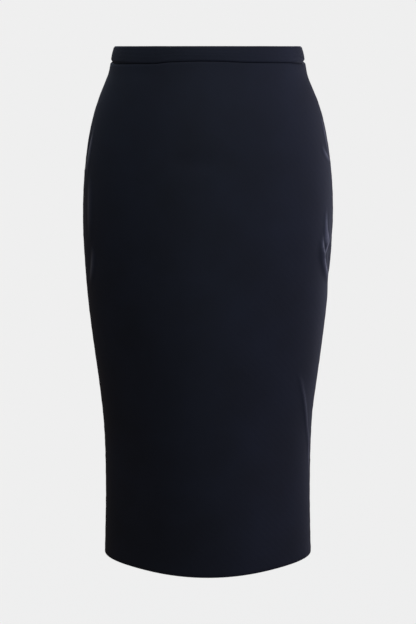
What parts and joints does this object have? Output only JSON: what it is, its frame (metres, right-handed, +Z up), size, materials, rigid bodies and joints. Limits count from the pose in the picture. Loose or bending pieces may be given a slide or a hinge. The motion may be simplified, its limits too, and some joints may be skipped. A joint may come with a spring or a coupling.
{
  "type": "pencil skirt",
  "caption": "Plain knee-length pencil skirt, filled out as worn, with a narrow waistband, a concealed back zip and a lapped back vent.",
  "frame": {"origin": "centre of the waist opening 9 mm below the top of the waistband, near half its height, where the wearer holds the skirt", "axes": "+Z up towards the wearer's waist, the front faces -Y, +X to the wearer's left"},
  "size_m": [0.34, 0.2435, 0.7067],
  "materials": {
    "cloth": "matt heavy stretch suiting, soft sheen",
    "tape": "matt woven zip tape",
    "metal": "satin enamel on zinc"
  },
  "bodies": {
    "skirt": {"front_panel": "cloth", "back_panel_left": "cloth", "back_panel_right": "cloth", "waistband": "cloth", "zip_tape": "tape", "zip_slider": "metal"},
    "pull": {"zip_pull": "metal"}
  },
  "joints": [
    {"name": "pull_hinge", "type": "hinge", "parent": "skirt", "child": "pull", "pos_m": [0, 0.09253, 0.0033], "axis": [1, 0, 0], "range_deg": [0, 150]}
  ]
}
